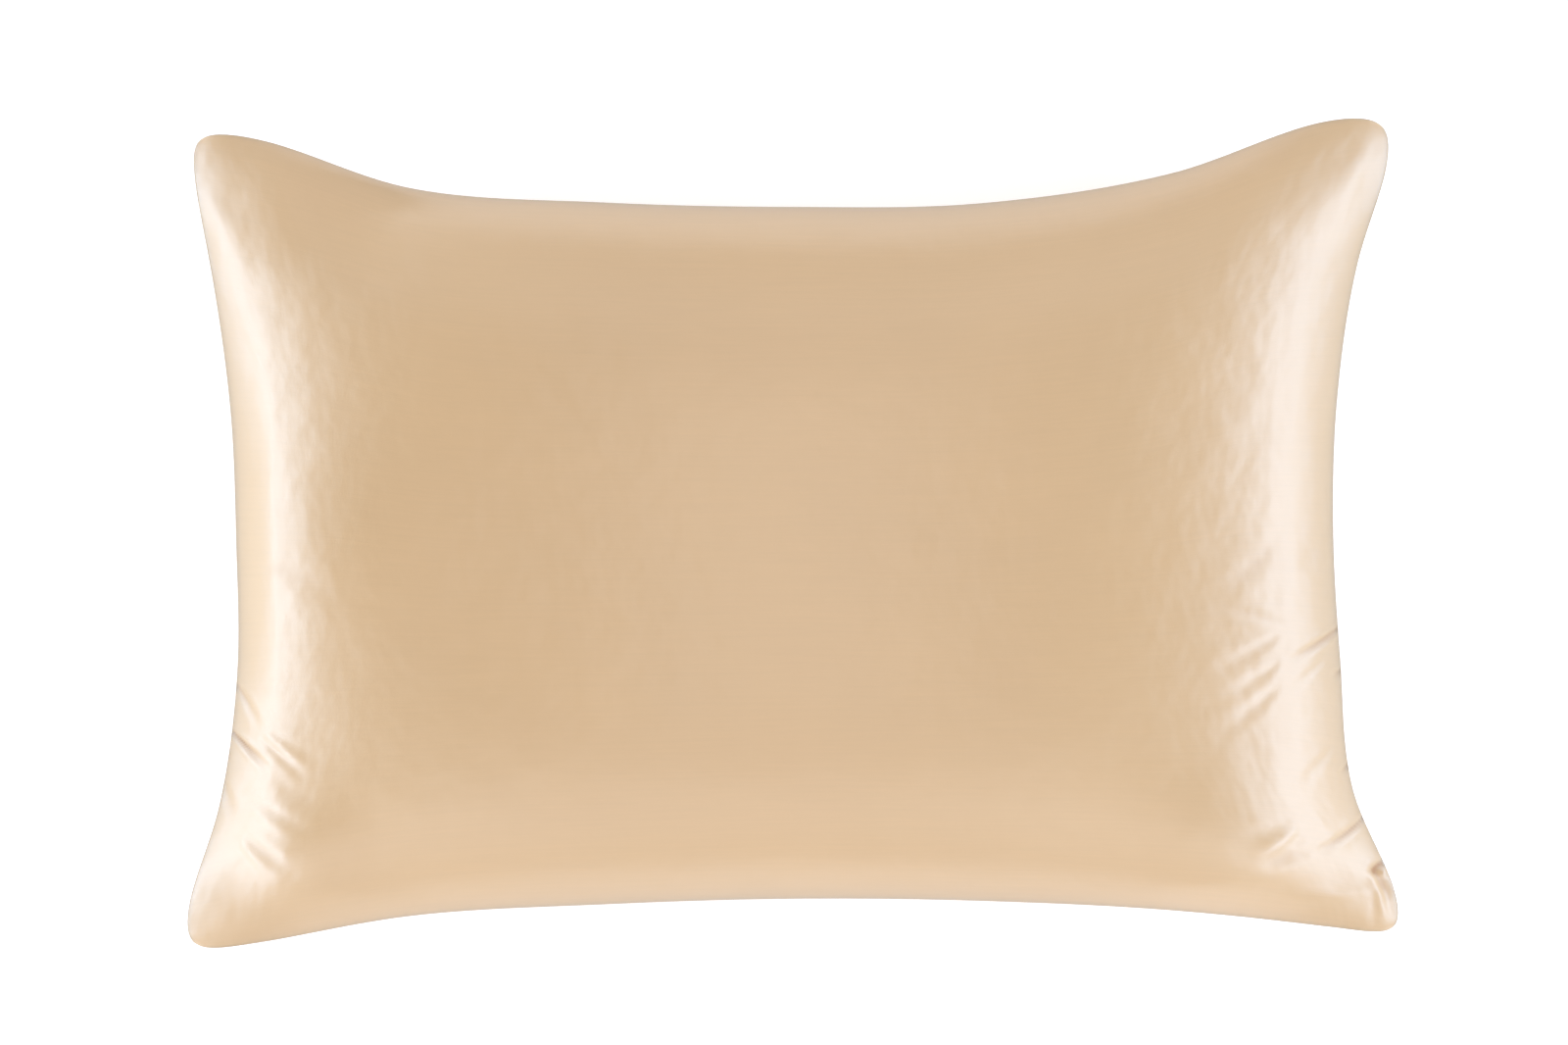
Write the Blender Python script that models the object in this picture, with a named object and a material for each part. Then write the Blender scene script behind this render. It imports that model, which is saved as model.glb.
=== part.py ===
"""A satin pillowcase, filled, lying on its back: one closed cushion of cloth.

A front and a back panel of the same size are sewn edge to edge, turned and filled. Filling
draws the four sides in between the corners, rounds the crown and leaves the corners as
flatter ears. Under its own weight the back settles into a flat patch, and the seam runs
round at about half height.

Frame: metres. +X runs along the length and +Y up the face as it is seen. +Z is up, out of
the front panel. The origin is under the middle of the cushion, on the surface it lies on.
"""

import math
from typing import NamedTuple

import bmesh
import bpy
from mathutils import Vector

# Heights of the filled case as it lies.
SEAM_HEIGHT = 0.072  # the seam at the middle of a side
CROWN_RISE = 0.092  # from the seam up to the top of the crown
BELLY_DROP = 0.108  # from the seam down to where the back would hang with nothing under it
CONTACT_SOFTNESS = 0.014  # height over which the back rounds into its flat patch
CONTACT_GAP = 0.0005  # cloth closer to the surface than this lies on it
EAR_DROOP = 0.024  # how far the corner tips hang below the middle of the sides

# How round the filled sections are, along the length and across the width. A larger power is
# a flatter crown with rounder shoulders. The load spreads the back flatter.
CROWN_POWERS = (2.0, 4.0)
BELLY_POWERS = (2.9, 3.4)
EDGE_POWER = 0.57  # 0.5 would round over smoothly at the seam; more pinches it to an edge
EAR_PINCH = 0.30  # how much more the corners are pinched, which makes them flatter ears
SEAM_SLOPE = 0.03  # larger lets the panels meet at the seam at a shallower angle

# Where the sides of the outline would cross at each corner, before the tips are rounded.
LOWER_LEFT = (-0.387, -0.271)
LOWER_RIGHT = (0.391, -0.261)
UPPER_LEFT = (-0.384, 0.260)
UPPER_RIGHT = (0.382, 0.268)
TIP_POWER = 10  # larger is a sharper tip

# How far each side is drawn in from the straight line between its corners. A station is a
# place along half a side: -1 is its left or lower corner, 0 its middle and 1 its other corner.
STATIONS = (-1.0, -0.84, -0.60, -0.30, 0.0, 0.30, 0.60, 0.84, 1.0)
DRAWN_IN = {
    "left": (0.0, 0.015, 0.038, 0.049, 0.048, 0.044, 0.032, 0.016, 0.0),
    "right": (0.0, 0.019, 0.048, 0.055, 0.058, 0.054, 0.040, 0.016, 0.0),
    "lower": (0.0, 0.018, 0.036, 0.042, 0.044, 0.041, 0.033, 0.019, 0.0),
    "upper": (0.0, 0.019, 0.052, 0.062, 0.066, 0.065, 0.048, 0.015, 0.0),
}


class Swell(NamedTuple):
    """A place where the filling pushes the front panel up further, or leaves it lower."""

    middle: tuple  # (x, y)
    reach: float
    rise: float


SWELLS = (
    Swell((-0.290, -0.010), 0.080, 0.012),  # the full middle of the left side
    Swell((-0.255, 0.200), 0.042, -0.011),  # the slack root of the upper left ear
    Swell((-0.298, -0.195), 0.036, 0.007),  # the plump lower left ear
    Swell((0.262, -0.200), 0.060, 0.010),  # the plump root of the lower right ear
)
SWELL_FADE = 0.3  # share of the full rise over which a swell comes up from the seam


class Crease(NamedTuple):
    """A trough that a side pulls into the front panel; it fades out at its inner end."""

    outer: tuple  # (x, y) at the seam
    inner: tuple  # (x, y) where it fades out
    width: float  # half width of the trough
    depth: float


CREASES = (
    # left side, from its middle down to the lower ear
    Crease((-0.330, -0.010), (-0.262, -0.042), 0.010, 0.0009),
    Crease((-0.338, -0.088), (-0.316, -0.124), 0.006, 0.0008),
    Crease((-0.339, -0.118), (-0.290, -0.150), 0.006, 0.0018),
    Crease((-0.318, -0.146), (-0.278, -0.168), 0.007, 0.0008),
    Crease((-0.330, -0.161), (-0.278, -0.184), 0.006, 0.0012),
    Crease((-0.334, -0.182), (-0.290, -0.202), 0.007, 0.0012),
    # right side, from its middle down to the lower ear
    Crease((0.300, 0.002), (0.252, -0.038), 0.006, 0.0010),
    Crease((0.302, -0.056), (0.246, -0.042), 0.006, 0.0007),
    Crease((0.330, -0.058), (0.246, -0.084), 0.006, 0.0014),
    Crease((0.325, -0.075), (0.256, -0.099), 0.006, 0.0012),
    Crease((0.322, -0.088), (0.251, -0.124), 0.006, 0.0012),
    Crease((0.328, -0.128), (0.302, -0.156), 0.007, 0.0008),
    Crease((0.348, -0.172), (0.308, -0.194), 0.006, 0.0018),
    # the tuck across the lower right ear
    Crease((0.352, -0.190), (0.364, -0.244), 0.007, 0.0026),
    # folds that fan out of the two upper ears
    Crease((0.354, 0.240), (0.262, 0.150), 0.018, 0.0010),
    Crease((-0.352, 0.232), (-0.288, 0.130), 0.018, 0.0008),
)
BANK_LIFT = 0.5  # height of the cloth pushed up beside a trough, as a share of its depth
BANK_OFFSET = 1.7  # its distance from the trough, in half widths
CREASE_FADE = 0.010  # rise above the seam over which creases come up to full depth

# The panels' grid, closest where the cloth turns and creases most. Each band is a share of
# the half turn from one edge of the section over to the other, and its count of cells.
COLUMN_BANDS = ((0.30, 14), (0.40, 9), (0.30, 14))
ROW_BANDS = ((0.16, 9), (0.32, 30), (0.16, 6), (0.20, 13), (0.16, 9))
WELD_DISTANCE = 1e-5

SATIN_COLOUR = (0.71, 0.51, 0.31, 1.0)
SATIN_ROUGHNESS = 0.38


def clear_scene():
    for old in list(bpy.data.objects):
        bpy.data.objects.remove(old, do_unlink=True)


def between(start, end, along):
    """The value at a station from -1 to 1 on the straight line from start to end."""
    return start + (end - start) * (along + 1) / 2


def drawn_in(side, along):
    """How far a side is drawn in at a station, on a smooth curve through its table."""
    depths = DRAWN_IN[side]
    final = len(STATIONS) - 1
    i = next((k for k in range(final - 1) if along <= STATIONS[k + 1]), final - 1)

    def slope(k):
        before, after = max(k - 1, 0), min(k + 1, final)
        return (depths[after] - depths[before]) / (STATIONS[after] - STATIONS[before])

    span = STATIONS[i + 1] - STATIONS[i]
    t = (along - STATIONS[i]) / span
    return (
        (1 + 2 * t) * (1 - t) ** 2 * depths[i]
        + t * (1 - t) ** 2 * span * slope(i)
        + t * t * (3 - 2 * t) * depths[i + 1]
        - t * t * (1 - t) * span * slope(i + 1)
    )


def plan_point(across, up):
    """Where a point of the square panel, from -1 to 1 each way, lies seen from above."""
    # This pull is the one that turns each tip without a kink.
    pull = abs(across * up) ** TIP_POWER / (2 * TIP_POWER + 1)
    u, v = across * (1 - pull), up * (1 - pull)
    left = between(LOWER_LEFT[0], UPPER_LEFT[0], v) + drawn_in("left", v)
    right = between(LOWER_RIGHT[0], UPPER_RIGHT[0], v) - drawn_in("right", v)
    lower = between(LOWER_LEFT[1], LOWER_RIGHT[1], u) + drawn_in("lower", u)
    upper = between(UPPER_LEFT[1], UPPER_RIGHT[1], u) - drawn_in("upper", u)
    return between(left, right, u), between(lower, upper, v)


def fullness(across, up, powers):
    """Share of the full rise at a point of the panel: 0 on the seam and 1 in the middle."""
    section = max((1 - abs(across) ** powers[0]) * (1 - abs(up) ** powers[1]), 0.0)
    power = EDGE_POWER + EAR_PINCH * (across * up) ** 2
    least, most = SEAM_SLOPE**power, (1 + SEAM_SLOPE) ** power
    return ((section + SEAM_SLOPE) ** power - least) / (most - least)


def seam_height(across, up):
    return SEAM_HEIGHT - EAR_DROOP * abs(across * up) ** 3


def settled(height):
    """The height of the back once the surface under it holds it up."""
    if height <= -CONTACT_SOFTNESS:
        return 0.0
    if height >= CONTACT_SOFTNESS:
        return height
    lift = (height + CONTACT_SOFTNESS) ** 2 / (4 * CONTACT_SOFTNESS)
    return lift if lift > CONTACT_GAP else 0.0


def swell_rise(x, y, share):
    """Height that the swells add where the panel has a share of its full rise."""
    rises = (
        swell.rise * math.exp(-(math.dist((x, y), swell.middle) / swell.reach) ** 2)
        for swell in SWELLS
    )
    above_seam = min(share / SWELL_FADE, 1.0)
    return sum(rises) * above_seam**2 * (3 - 2 * above_seam)


def front_point(across, up):
    x, y = plan_point(across, up)
    share = fullness(across, up, CROWN_POWERS)
    return x, y, seam_height(across, up) + CROWN_RISE * share + swell_rise(x, y, share)


def back_point(across, up):
    x, y = plan_point(across, up)
    hanging = seam_height(across, up) - BELLY_DROP * fullness(across, up, BELLY_POWERS)
    return x, y, settled(hanging)


def crease_rise(x, y, crease):
    """Height that one crease adds to the panel at a point seen from above."""
    run_x, run_y = crease.inner[0] - crease.outer[0], crease.inner[1] - crease.outer[1]
    from_x, from_y = x - crease.outer[0], y - crease.outer[1]
    length = math.hypot(run_x, run_y)
    along = (from_x * run_x + from_y * run_y) / length**2
    if not 0 < along < 1:
        return 0.0
    aside = abs(from_y * run_x - from_x * run_y) / length / crease.width
    trough = math.exp(-(aside**2))
    bank = BANK_LIFT * math.exp(-((aside - BANK_OFFSET) ** 2))
    return crease.depth * math.sin(math.pi * along) * (bank - trough)


def stations(bands):
    """Places from -1 to 1 that crowd towards both ends, where the cloth turns most."""
    turn, turns = 0.0, [0.0]
    for share, cells in bands:
        turns += [turn + share * (i + 1) / cells for i in range(cells)]
        turn += share
    return [math.sin(math.pi * (turn - 0.5)) for turn in turns]


def panel(bm, surface):
    """A grid of cells on one panel's surface; returns its vertices."""
    columns, rows = stations(COLUMN_BANDS), stations(ROW_BANDS)
    last_column, last_row = len(columns) - 1, len(rows) - 1
    grid = bmesh.ops.create_grid(bm, x_segments=last_column, y_segments=last_row, size=1.0)
    for vertex in grid["verts"]:
        column = round((vertex.co.x + 1) / 2 * last_column)
        row = round((vertex.co.y + 1) / 2 * last_row)
        vertex.co = surface(columns[column], rows[row])
    return grid["verts"]


def press_creases(bm, front):
    """Moves the front panel in and out along its own normal, and leaves its edge as it is."""
    bm.normal_update()
    moves = []
    for vertex in front:
        rise = sum(crease_rise(vertex.co.x, vertex.co.y, crease) for crease in CREASES)
        above_ears = max(vertex.co.z - SEAM_HEIGHT + EAR_DROOP, 0.0)
        fade = 0.0 if vertex.is_boundary else min(above_ears / CREASE_FADE, 1.0)
        moves.append(vertex.normal * rise * fade)
    for vertex, move in zip(front, moves):
        vertex.co += move


def flatten_contact_patch(bm, back):
    """Makes the cells that lie on the surface one flat face."""
    cells = {face for vertex in back for face in vertex.link_faces}
    patch = [face for face in cells if all(vertex.co.z == 0.0 for vertex in face.verts)]
    bmesh.ops.dissolve_faces(bm, faces=patch, use_verts=False)


def centre_on_origin(bm):
    """Puts the origin under the middle of the outline."""
    xs = [vertex.co.x for vertex in bm.verts]
    ys = [vertex.co.y for vertex in bm.verts]
    middle = Vector(((min(xs) + max(xs)) / 2, (min(ys) + max(ys)) / 2, 0))
    bmesh.ops.translate(bm, vec=-middle, verts=bm.verts)


def satin():
    material = bpy.data.materials.new("champagne_satin")
    material.use_nodes = True
    shader = material.node_tree.nodes["Principled BSDF"]
    shader.inputs["Base Color"].default_value = SATIN_COLOUR
    shader.inputs["Roughness"].default_value = SATIN_ROUGHNESS
    shader.inputs["Metallic"].default_value = 0.0
    return material


def pillowcase():
    bm = bmesh.new()
    front = panel(bm, front_point)
    press_creases(bm, front)
    back = panel(bm, back_point)
    bmesh.ops.reverse_faces(bm, faces=list({f for v in back for f in v.link_faces}))
    flatten_contact_patch(bm, back)
    seam = [vertex for vertex in bm.verts if vertex.is_boundary]
    bmesh.ops.remove_doubles(bm, verts=seam, dist=WELD_DISTANCE)
    bmesh.ops.triangulate(bm, faces=bm.faces, quad_method="SHORT_EDGE")
    centre_on_origin(bm)
    mesh = bpy.data.meshes.new("pillowcase")
    bm.to_mesh(mesh)
    bm.free()
    mesh.shade_smooth()
    mesh.materials.append(satin())
    case = bpy.data.objects.new("pillowcase", mesh)
    bpy.context.scene.collection.objects.link(case)


clear_scene()
pillowcase()
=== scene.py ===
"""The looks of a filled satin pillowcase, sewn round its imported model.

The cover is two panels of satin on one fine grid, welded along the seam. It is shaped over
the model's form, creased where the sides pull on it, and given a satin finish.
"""

import math
from typing import NamedTuple

import bmesh
import bpy
import numpy as np
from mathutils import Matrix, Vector


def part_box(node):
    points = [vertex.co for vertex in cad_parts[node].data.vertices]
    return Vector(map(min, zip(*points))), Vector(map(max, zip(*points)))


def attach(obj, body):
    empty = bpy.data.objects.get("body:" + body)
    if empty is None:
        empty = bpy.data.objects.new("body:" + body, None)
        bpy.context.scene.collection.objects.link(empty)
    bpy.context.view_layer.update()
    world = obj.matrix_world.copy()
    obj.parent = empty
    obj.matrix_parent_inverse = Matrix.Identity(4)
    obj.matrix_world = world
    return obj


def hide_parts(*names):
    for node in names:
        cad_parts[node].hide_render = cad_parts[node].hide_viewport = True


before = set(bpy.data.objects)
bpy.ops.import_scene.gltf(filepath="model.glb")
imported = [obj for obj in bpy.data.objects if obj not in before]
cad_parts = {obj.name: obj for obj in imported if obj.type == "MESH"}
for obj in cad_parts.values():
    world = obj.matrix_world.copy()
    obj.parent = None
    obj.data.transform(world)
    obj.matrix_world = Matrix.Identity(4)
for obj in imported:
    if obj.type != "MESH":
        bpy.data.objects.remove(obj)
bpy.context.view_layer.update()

# The cloth of each panel, cut flat and without its seam allowance.
CLOTH_LENGTH = 0.762
CLOTH_WIDTH = 0.508

# Heights of the filled case, as in the model.
SEAM_HEIGHT = 0.072
CROWN_RISE = 0.092  # from the seam to the top of the front panel
BELLY_DROP = 0.108  # how far below the seam the back would sag with nothing under it
CONTACT_SOFTNESS = 0.014  # how gently the back meets what it lies on
CONTACT_GAP = 0.0005  # it lies flat where it would be lower than this
EAR_DROOP = 0.024
DROOP_POWER = 3  # the higher, the closer to its tip an ear droops

# How the panels bulge between their seams, as in the model.
CROWN_POWERS = (2.0, 4.0)  # along the length and the width: the higher, the flatter on top
BELLY_POWERS = (2.9, 3.4)  # the same for the back
EDGE_POWER = 0.57  # the lower, the steeper the panels leave the seam
EAR_PINCH = 0.30  # what is added to that power at the ears, which are flatter
SEAM_SLOPE = 0.03  # above 0, so that the panels don't leave the seam upright

# The outline, as in the model: where its sides cross, and how far each is drawn in.
LOWER_LEFT = (-0.387, -0.271)
LOWER_RIGHT = (0.391, -0.261)
UPPER_LEFT = (-0.384, 0.260)
UPPER_RIGHT = (0.382, 0.268)
TIP_POWER = 10  # the higher, the smaller the rounding at the ears' tips
STATIONS = (-1.0, -0.84, -0.60, -0.30, 0.0, 0.30, 0.60, 0.84, 1.0)  # along each side
DRAWN_IN = {
    "left": (0.0, 0.015, 0.038, 0.049, 0.048, 0.044, 0.032, 0.016, 0.0),
    "right": (0.0, 0.019, 0.048, 0.055, 0.058, 0.054, 0.040, 0.016, 0.0),
    "lower": (0.0, 0.018, 0.036, 0.042, 0.044, 0.041, 0.033, 0.019, 0.0),
    "upper": (0.0, 0.019, 0.052, 0.062, 0.066, 0.065, 0.048, 0.015, 0.0),
}

# Cells of the grid, as (share of the panel, count): closest where the cloth creases.
COLUMN_BANDS = ((0.26, 76), (0.48, 56), (0.26, 76))
ROW_BANDS = ((0.27, 74), (0.16, 78), (0.22, 24), (0.35, 48))
CROWDING = 0.85  # how much closer cells lie at the seam than in the middle, from 0 to 1
WELD_DISTANCE = 1e-5  # on the square panels, before they take their form


class Swell(NamedTuple):
    """A place where the filling pushes the front panel up further, or leaves it lower."""

    middle: tuple  # (x, y)
    reach: float
    rise: float


SWELLS = (
    Swell((-0.290, -0.010), 0.080, 0.012),
    Swell((-0.255, 0.200), 0.042, -0.011),
    Swell((-0.298, -0.195), 0.036, 0.007),
    Swell((0.262, -0.200), 0.060, 0.010),
)
SWELL_FADE = 0.3  # share of the crown's rise over which they fade in


class Crease(NamedTuple):
    """A trough in the front panel, or a ridge where its depth is below 0."""

    outer: tuple  # (x, y) near the seam
    inner: tuple  # (x, y) where it fades out
    bow: float  # how far its middle lies to the left of the straight line inwards
    width: float  # half width in the middle; it fans out from 0.6 to 1.4 of this
    depth: float


CREASES = (
    # left side, from its middle down to the lower ear
    Crease((-0.318, -0.021), (-0.270, -0.036), 0.002, 0.0060, 0.0007),
    Crease((-0.343, -0.087), (-0.320, -0.119), 0.002, 0.0024, 0.0010),
    Crease((-0.345, -0.117), (-0.314, -0.142), 0.000, 0.0018, 0.0018),
    Crease((-0.345, -0.118), (-0.343, -0.138), 0.000, 0.0018, 0.0013),
    Crease((-0.318, -0.120), (-0.284, -0.143), 0.000, 0.0032, -0.0005),
    Crease((-0.321, -0.123), (-0.288, -0.149), 0.000, 0.0028, 0.0005),
    Crease((-0.313, -0.148), (-0.278, -0.166), 0.000, 0.0060, 0.0004),
    Crease((-0.346, -0.150), (-0.338, -0.176), 0.000, 0.0035, 0.0006),
    Crease((-0.329, -0.161), (-0.283, -0.180), 0.000, 0.0035, 0.0005),
    Crease((-0.325, -0.167), (-0.299, -0.181), 0.000, 0.0035, -0.0004),
    Crease((-0.331, -0.184), (-0.295, -0.207), 0.000, 0.0042, 0.0007),
    Crease((-0.334, -0.186), (-0.314, -0.205), 0.000, 0.0035, -0.0005),
    # right side, from its middle down to the lower ear
    Crease((0.292, -0.003), (0.248, -0.040), 0.002, 0.0045, 0.0008),
    Crease((0.319, -0.010), (0.302, -0.022), 0.000, 0.0050, 0.0004),
    Crease((0.294, -0.054), (0.245, -0.040), 0.000, 0.0035, 0.0004),
    Crease((0.293, -0.060), (0.242, -0.086), 0.001, 0.0042, 0.0005),
    Crease((0.292, -0.077), (0.255, -0.098), 0.001, 0.0036, 0.0004),
    Crease((0.292, -0.091), (0.249, -0.122), 0.001, 0.0044, 0.0005),
    Crease((0.338, -0.054), (0.296, -0.077), 0.001, 0.0022, 0.0014),
    Crease((0.336, -0.082), (0.326, -0.088), 0.000, 0.0020, 0.0010),
    Crease((0.322, -0.076), (0.297, -0.095), 0.000, 0.0026, 0.0004),
    Crease((0.343, -0.138), (0.331, -0.147), 0.000, 0.0020, 0.0010),
    Crease((0.328, -0.129), (0.302, -0.155), 0.000, 0.0035, 0.0004),
    # the lobe, shelf, tuck and tip of the lower right ear
    Crease((0.354, -0.169), (0.314, -0.193), 0.002, 0.0022, 0.0015),
    Crease((0.304, -0.177), (0.272, -0.195), 0.000, 0.0055, -0.0013),
    Crease((0.315, -0.191), (0.274, -0.200), 0.000, 0.0045, 0.0005),
    Crease((0.352, -0.218), (0.292, -0.221), 0.000, 0.0050, -0.0005),
    Crease((0.362, -0.200), (0.350, -0.208), 0.000, 0.0030, 0.0020),
    Crease((0.354, -0.204), (0.366, -0.224), 0.000, 0.0030, 0.0015),
    Crease((0.357, -0.215), (0.364, -0.245), 0.000, 0.0032, -0.0008),
    # ridges that run out of the two upper ears
    Crease((0.353, 0.236), (0.306, 0.182), 0.003, 0.0100, -0.0010),
    Crease((-0.361, 0.206), (-0.325, 0.150), 0.003, 0.0100, -0.0008),
)
OUTER_WIDTH = 0.6  # a crease's width at its outer end, as a share of that in its middle
WIDENING = 0.8  # what it gains from there to its inner end
CREASE_LEAN = 0.7  # below 1, so that a crease is deepest nearer to the seam
BANK_LIFT = 0.3  # height of the banks beside a trough, as a share of its depth
BANK_OFFSET = 1.7  # how far from its middle they lie, in half widths
CREASE_FADE = 0.010  # height above the ears' tips over which creases fade in
FOLD_DEPTH = 0.0018  # depth at which a crease counts as folded shut


class Pattern(NamedTuple):
    """Cloudy noise that is spread over the cloth."""

    scale: tuple  # cycles a metre along its length, along its width and in depth
    detail: float
    shade: float  # how much lighter the cloth is where the noise is highest


WEFT = Pattern((45.0, 1300.0, 1.0), 3.0, 0.06)
SLUBS = Pattern((14.0, 420.0, 1.0), 2.0, 0.06)
CLOUDS = Pattern((9.0, 9.0, 1.0), 2.0, 0.08)
SLACK = Pattern((38.0, 30.0, 1.0), 2.0, 0.0)

# The satin's finish.
SATIN_COLOUR = (0.70, 0.42, 0.185)
SATIN_IOR = 2.3  # higher than silk's own, for its sheen
SATIN_ROUGHNESS = 0.42
LEAST_SHADE = 0.90  # how light the cloth is where the noise is lowest
WEFT_ROUGHNESS = 0.06  # how much duller the highest threads are than the lowest
WEFT_HEIGHT = 0.00003  # of the highest threads above the lowest
SLACKNESS = 0.0011  # height of the faint waves all over the cloth
SEAM_SHADE = 0.34  # how much darker the colour is painted where the cloth dips into the seam, away from the ears: painted shade
SEAM_SHADE_WIDTH = 0.011  # distance from the seam over which that fades out
SEAM_LINE = 0.3  # painted shade, the same way, in the narrow fold at the seam itself
SEAM_LINE_WIDTH = 0.0015
FOLD_SHADE_COLOUR = (0.46, 0.21, 0.06, 1.0)  # painted shade: the dark brown colour of a crease that is folded shut
FOLD_ROUGHNESS = 0.35  # how much duller it is there

# The studio's floor and world.
WHITE = (1.0, 1.0, 1.0)
FLOOR_REACH = 6.0  # from its middle to each edge
FLOOR_COLOUR = (0.9, 0.9, 0.9, 1.0)
FLOOR_ROUGHNESS = 0.9
FLOOR_GLOW = 0.36  # how strongly it shines by itself
WORLD_GLOW = 0.33  # the same for the light all round

# The photograph's frame: its width at the height of the seam, and where its middle lies.
PHOTO_WIDTH = 0.952
PHOTO_MIDDLE = (-0.0055, 0.0066)
LENS = 85.0  # millimetres
SENSOR = 36.0  # width in millimetres


# ---------------------------------------------------------------- the form of the cushion


def between(start, end, along):
    """From start to end, as along runs from -1 to 1."""
    return start + (end - start) * (along + 1) / 2


def drawn_in(side, along):
    """How far a side is drawn in at places along it, on a smooth curve through its table."""
    places, depths = np.array(STATIONS), np.array(DRAWN_IN[side])
    final = len(places) - 1
    i = np.clip(np.searchsorted(places, along) - 1, 0, final - 1)
    every = np.arange(final + 1)
    before, after = np.maximum(every - 1, 0), np.minimum(every + 1, final)
    slopes = (depths[after] - depths[before]) / (places[after] - places[before])
    span = places[i + 1] - places[i]
    t = (along - places[i]) / span
    return (
        (1 + 2 * t) * (1 - t) ** 2 * depths[i]
        + t * (1 - t) ** 2 * span * slopes[i]
        + t * t * (3 - 2 * t) * depths[i + 1]
        - t * t * (1 - t) * span * slopes[i + 1]
    )


def plan(across, up):
    """Where points of the square panel, from -1 to 1 each way, lie seen from above."""
    pull = np.abs(across * up) ** TIP_POWER / (2 * TIP_POWER + 1)
    u, v = across * (1 - pull), up * (1 - pull)
    left = between(LOWER_LEFT[0], UPPER_LEFT[0], v) + drawn_in("left", v)
    right = between(LOWER_RIGHT[0], UPPER_RIGHT[0], v) - drawn_in("right", v)
    lower = between(LOWER_LEFT[1], LOWER_RIGHT[1], u) + drawn_in("lower", u)
    upper = between(UPPER_LEFT[1], UPPER_RIGHT[1], u) - drawn_in("upper", u)
    return between(left, right, u), between(lower, upper, v)


def fullness(across, up, powers):
    """How far a panel stands out from the seam, from 0 at the seam to 1 in its middle."""
    section = np.maximum((1 - np.abs(across) ** powers[0]) * (1 - np.abs(up) ** powers[1]), 0.0)
    power = EDGE_POWER + EAR_PINCH * (across * up) ** 2
    least, most = SEAM_SLOPE**power, (1 + SEAM_SLOPE) ** power
    return ((section + SEAM_SLOPE) ** power - least) / (most - least)


def swell_rise(x, y, share):
    """Height that the swells add to the front panel, whose fullness is share."""
    rise = 0.0
    for swell in SWELLS:
        squared = (x - swell.middle[0]) ** 2 + (y - swell.middle[1]) ** 2
        rise = rise + swell.rise * np.exp(-squared / swell.reach**2)
    above_seam = np.minimum(share / SWELL_FADE, 1.0)
    return rise * above_seam**2 * (3 - 2 * above_seam)


def settled(height):
    """Height of the back panel once it lies on the surface under it."""
    rounding = np.maximum(height + CONTACT_SOFTNESS, 0.0) ** 2 / (4 * CONTACT_SOFTNESS)
    lift = np.where(height >= CONTACT_SOFTNESS, height, rounding)
    return np.where(lift > CONTACT_GAP, lift, 0.0)


def cushion_points(across, up, side):
    """The filled form: side is above 0 on the front panel and below 0 on the back."""
    x, y = plan(across, up)
    seam = SEAM_HEIGHT - EAR_DROOP * np.abs(across * up) ** DROOP_POWER
    share = fullness(across, up, CROWN_POWERS)
    front = seam + CROWN_RISE * share + swell_rise(x, y, share)
    back = settled(seam - BELLY_DROP * fullness(across, up, BELLY_POWERS))
    return np.stack([x, y, np.where(side >= 0, front, back)], axis=1)


def crease_rise(points, crease):
    """Height that one crease adds to the panel at points seen from above."""
    outer, inner = np.array(crease.outer), np.array(crease.inner)
    run = inner - outer
    length = math.hypot(*run)
    away = points[:, :2] - outer
    along = np.clip(away @ run / length**2, 0, 1)
    leftwards = (away[:, 1] * run[0] - away[:, 0] * run[1]) / length
    half_width = crease.width * (OUTER_WIDTH + WIDENING * along)
    aside = np.abs(leftwards - crease.bow * 4 * along * (1 - along)) / half_width
    trough = np.exp(-(aside**2))
    bank = BANK_LIFT * np.exp(-((aside - BANK_OFFSET) ** 2))
    return crease.depth * np.sin(math.pi * along**CREASE_LEAN) * (bank - trough)


def creases_rise(points, side):
    """Height that all the creases add to the front panel, fading out in the ears' tips."""
    above_ears = np.maximum(points[:, 2] - SEAM_HEIGHT + EAR_DROOP, 0.0)
    fade = np.where(side > 0, np.minimum(above_ears / CREASE_FADE, 1.0), 0.0)
    return sum(crease_rise(points, crease) for crease in CREASES) * fade


# ---------------------------------------------------------------- meshes


def mesh_from(bm, name):
    mesh = bpy.data.meshes.new(name)
    bm.to_mesh(mesh)
    bm.free()
    return mesh


def placed(name, data):
    """A new object in the scene, at the origin."""
    made = bpy.data.objects.new(name, data)
    bpy.context.scene.collection.objects.link(made)
    return made


def grid_lines(bands):
    """Places of a grid's lines from -1 to 1, by band and closer together towards both ends."""
    place, places = -1.0, [-1.0]
    for share, cells in bands:
        places += [place + 2 * share * (i + 1) / cells for i in range(cells)]
        place += 2 * share
    turn = CROWDING * math.pi / 2
    return np.sin(turn * np.array(places)) / math.sin(turn)


def panel(bm, height):
    """One panel as a square grid at a height, with its edge brought down to the seam."""
    columns, rows = grid_lines(COLUMN_BANDS), grid_lines(ROW_BANDS)
    across, up = len(columns) - 1, len(rows) - 1
    grid = bmesh.ops.create_grid(bm, x_segments=across, y_segments=up, size=1.0)["verts"]
    for vertex in grid:
        vertex.co.x = columns[round((vertex.co.x + 1) / 2 * across)]
        vertex.co.y = rows[round((vertex.co.y + 1) / 2 * up)]
        vertex.co.z = 0.0 if vertex.is_boundary else height
    return grid


def read_points(mesh):
    points = np.empty(len(mesh.vertices) * 3)
    mesh.vertices.foreach_get("co", points)
    return points.reshape(-1, 3)


def write_points(mesh, points):
    mesh.vertices.foreach_set("co", points.ravel())
    mesh.update()


def normals(mesh):
    values = np.empty(len(mesh.vertices) * 3)
    mesh.vertex_normals.foreach_get("vector", values)
    return values.reshape(-1, 3)


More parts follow.
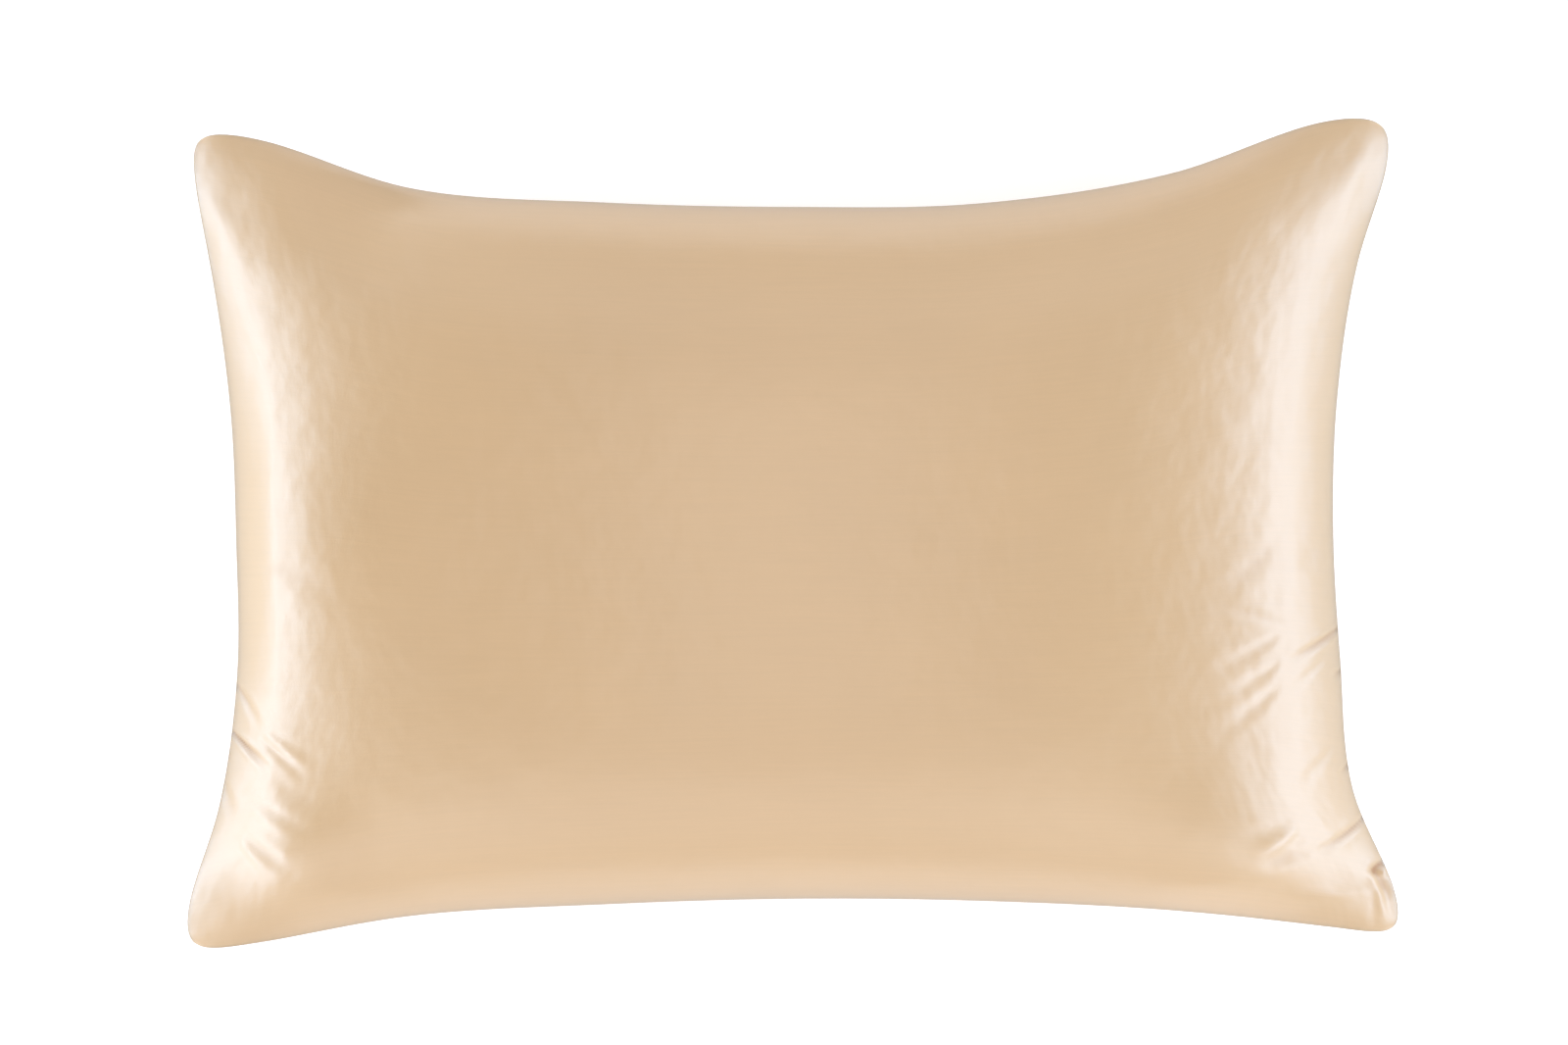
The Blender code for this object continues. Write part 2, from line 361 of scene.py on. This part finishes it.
def sewn_cover():
    """The two panels welded along the seam, still square; their UVs are cloth metres."""
    bm = bmesh.new()
    panel(bm, 1.0)
    back = panel(bm, -1.0)
    bmesh.ops.reverse_faces(bm, faces=list({f for v in back for f in v.link_faces}))
    bmesh.ops.remove_doubles(bm, verts=bm.verts, dist=WELD_DISTANCE)
    threads = bm.loops.layers.uv.new("threads")
    for face in bm.faces:
        face.smooth = True
        for loop in face.loops:
            x, y, _ = loop.vert.co
            loop[threads].uv = (between(0.0, CLOTH_LENGTH, x), between(0.0, CLOTH_WIDTH, y))
    return mesh_from(bm, "pillow_cover")


def pillow_cover():
    """The cover in its filled form, creased, and set over the middle of the model."""
    mesh = sewn_cover()
    across, up, side = read_points(mesh).T
    points = cushion_points(across, up, side)
    write_points(mesh, points)
    rise = creases_rise(points, side)
    # how far each point is folded shut in a crease; it sets the painted shade and the dullness
    # there
    fold_shade_mask = mesh.attributes.new("fold_shade_mask", "FLOAT", "POINT").data
    fold_shade_mask.foreach_set("value", np.clip(-rise / FOLD_DEPTH, 0.0, 1.0) ** 2)
    points += normals(mesh) * rise[:, None]
    low, high = np.array(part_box("pillowcase"))
    shift = (low + high) / 2 - (points.min(axis=0) + points.max(axis=0)) / 2
    points[:, :2] += shift[:2]
    write_points(mesh, points)
    return placed("pillow_cover", mesh)


# ---------------------------------------------------------------- materials


class Value:
    """One output of a material's nodes; arithmetic on it adds Math nodes."""

    def __init__(self, finish, socket):
        self.finish, self.socket = finish, socket

    def maths(self, operation, *terms):
        return self.finish.node("ShaderNodeMath", {"operation": operation}, dict(enumerate(terms)))

    def __add__(self, other):
        return self.maths("ADD", self, other)

    def __sub__(self, other):
        return self.maths("SUBTRACT", self, other)

    def __rsub__(self, other):
        return self.maths("SUBTRACT", other, self)

    def __mul__(self, other):
        return self.maths("MULTIPLY", self, other)

    def __rpow__(self, other):
        return self.maths("POWER", other, self)

    def least(self, other):
        return self.maths("MINIMUM", self, other)

    __radd__ = __add__
    __rmul__ = __mul__


class Finish:
    """A material under construction, with its Principled shader's settings."""

    def __init__(self, name, **settings):
        self.material = bpy.data.materials.new(name)
        self.material.use_nodes = True
        self.tree = self.material.node_tree
        self.shader = self.tree.nodes["Principled BSDF"]
        for socket, value in settings.items():
            self.shader.inputs[socket.replace("_", " ")].default_value = value

    def node(self, kind, settings, inputs, output=0):
        """Adds one node, its settings first, and returns one of its outputs."""
        made = self.tree.nodes.new(kind)
        for key, value in settings.items():
            setattr(made, key, value)
        for key, value in inputs.items():
            self.feed(made.inputs[key], value)
        return Value(self, made.outputs[output])

    def feed(self, socket, value):
        if isinstance(value, Value):
            self.tree.links.new(value.socket, socket)
        else:
            socket.default_value = value

    def noise(self, where, pattern):
        """Cloudy noise from 0 to 1."""
        spread_by = {0: where, 1: pattern.scale}
        spread = self.node("ShaderNodeVectorMath", {"operation": "MULTIPLY"}, spread_by)
        inputs = {"Vector": spread, "Scale": 1.0, "Detail": pattern.detail}
        return self.node("ShaderNodeTexNoise", {}, inputs)

    def colour(self, rgb, strength):
        """A colour times a strength that varies over the surface."""
        inputs = {0: rgb, "Scale": strength}
        return self.node("ShaderNodeVectorMath", {"operation": "SCALE"}, inputs)

    def mixed(self, share, start, end):
        """From one colour to another as a share runs from 0 to 1."""
        inputs = {0: share, 6: start, 7: end}  # inputs 6 and 7 and output 2 are its colours
        return self.node("ShaderNodeMix", {"data_type": "RGBA"}, inputs, output=2)

    def bump(self, height, distance, under=None):
        """A normal bent by a height, on top of the normal of another bump."""
        inputs = {"Height": height, "Distance": distance}
        if under is not None:
            inputs["Normal"] = under
        return self.node("ShaderNodeBump", {}, inputs)

    def over_surface(self, **values):
        """Feeds sockets of the shader with what varies over the surface."""
        for socket, value in values.items():
            self.feed(self.shader.inputs[socket.replace("_", " ")], value)


def satin():
    cloth = Finish("champagne_satin", IOR=SATIN_IOR)
    threads = cloth.node("ShaderNodeUVMap", {"uv_map": "threads"}, {})
    along = cloth.node("ShaderNodeSeparateXYZ", {}, {0: threads})
    across = Value(cloth, along.socket.node.outputs[1])
    from_seam = along.least(CLOTH_LENGTH - along).least(across).least(CLOTH_WIDTH - across)
    weft = cloth.noise(threads, WEFT)
    slubs = cloth.noise(threads, SLUBS)
    clouds = cloth.noise(threads, CLOUDS)
    shade = LEAST_SHADE + WEFT.shade * weft + SLUBS.shade * slubs + CLOUDS.shade * clouds
    corner = (along * (2 / CLOTH_LENGTH) - 1.0) * (across * (2 / CLOTH_WIDTH) - 1.0)
    dip = 1.0 - corner * corner  # 0 at the ears' tips and 1 in the middle of each side
    # painted shade: the colour darkens near the seam, where the cloth turns away from the light,
    # but not at the ears' tips
    painted_seam_shade = 1.0 - SEAM_SHADE * dip * math.e ** (from_seam * (-1 / SEAM_SHADE_WIDTH))
    # painted shade in the narrow fold along the seam
    painted_seam_line = 1.0 - SEAM_LINE * math.e ** (from_seam * (-1 / SEAM_LINE_WIDTH))
    by_name = {"attribute_name": "fold_shade_mask"}
    fold_shade_mask = cloth.node("ShaderNodeAttribute", by_name, {}, output=2)  # output 2 is its number
    slack = cloth.noise(threads, SLACK)
    dullness = SATIN_ROUGHNESS - WEFT_ROUGHNESS / 2 + WEFT_ROUGHNESS * weft
    open_cloth = cloth.colour(SATIN_COLOUR, shade * painted_seam_shade * painted_seam_line)
    cloth.over_surface(
        # painted shade: creases folded shut take a dark brown colour
        Base_Color=cloth.mixed(fold_shade_mask, open_cloth, FOLD_SHADE_COLOUR),
        Roughness=dullness + FOLD_ROUGHNESS * fold_shade_mask,
        Normal=cloth.bump(weft, WEFT_HEIGHT, cloth.bump(slack, SLACKNESS)),
    )
    return cloth.material


def floor_white():
    paper = Finish(
        "white_floor",
        Base_Color=FLOOR_COLOUR,
        Roughness=FLOOR_ROUGHNESS,
        Emission_Color=(*WHITE, 1.0),
        Emission_Strength=FLOOR_GLOW,
    )
    return paper.material


# ---------------------------------------------------------------- the studio


def studio_floor():
    bm = bmesh.new()
    bmesh.ops.create_grid(bm, x_segments=1, y_segments=1, size=FLOOR_REACH)
    mesh = mesh_from(bm, "studio_floor")
    mesh.materials.append(floor_white())
    floor = placed("studio_floor", mesh)


class Softbox(NamedTuple):
    """A rectangular light that faces AIM; its first size runs level."""

    azimuth: float  # degrees from +X towards +Y
    elevation: float
    distance: float
    size: tuple
    power: float
    colour: tuple


SOFTBOXES = {
    "left_softbox": Softbox(180, 9, 1.4, (2.8, 0.26), 17.3, (0.75, 1.0, 1.31)),
    "right_softbox": Softbox(0, 16, 1.4, (2.8, 0.26), 15.9, (0.71, 0.97, 1.32)),
    "overhead_softbox": Softbox(90, 90, 2.2, (1.6, 1.6), 8.2, WHITE),
    "front_softbox": Softbox(-90, 28, 1.6, (3.4, 1.2), 10.4, (0.96, 1.0, 1.06)),
    "back_softbox": Softbox(90, 28, 1.6, (1.8, 1.2), 3.9, WHITE),
    "front_high_softbox": Softbox(-90, 55, 1.8, (3.0, 0.8), 4.2, WHITE),
    "back_high_softbox": Softbox(90, 55, 1.8, (1.8, 0.8), 2.5, WHITE),
}
AIM = Vector((0.0, 0.0, 0.1))


def studio_light():
    for name, box in SOFTBOXES.items():
        lamp = bpy.data.lights.new(name, "AREA")
        lamp.shape = "RECTANGLE"
        lamp.size, lamp.size_y = box.size
        lamp.energy = box.power
        lamp.color = box.colour
        turn, tilt = math.radians(box.azimuth), math.radians(box.elevation)
        level = math.cos(tilt)
        away = Vector((level * math.cos(turn), level * math.sin(turn), math.sin(tilt)))
        stand = placed(name, lamp)
        stand.location = AIM + box.distance * away
        stand.rotation_euler = away.to_track_quat("Z", "Y").to_euler()
    world = bpy.data.worlds.new("studio")
    world.use_nodes = True
    background = world.node_tree.nodes["Background"].inputs
    background["Color"].default_value = (*WHITE, 1.0)
    background["Strength"].default_value = WORLD_GLOW
    bpy.context.scene.world = world


def camera():
    distance = PHOTO_WIDTH * LENS / SENSOR
    lens = bpy.data.cameras.new("camera")
    lens.lens, lens.sensor_width = LENS, SENSOR
    view = placed("camera", lens)
    view.location = (*PHOTO_MIDDLE, SEAM_HEIGHT + distance)
    bpy.context.scene.camera = view


bpy.context.scene.view_settings.view_transform = "Standard"
camera()
cover = pillow_cover()
cover.data.materials.append(satin())
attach(cover, "root")
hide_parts("pillowcase")
studio_floor()
studio_light()
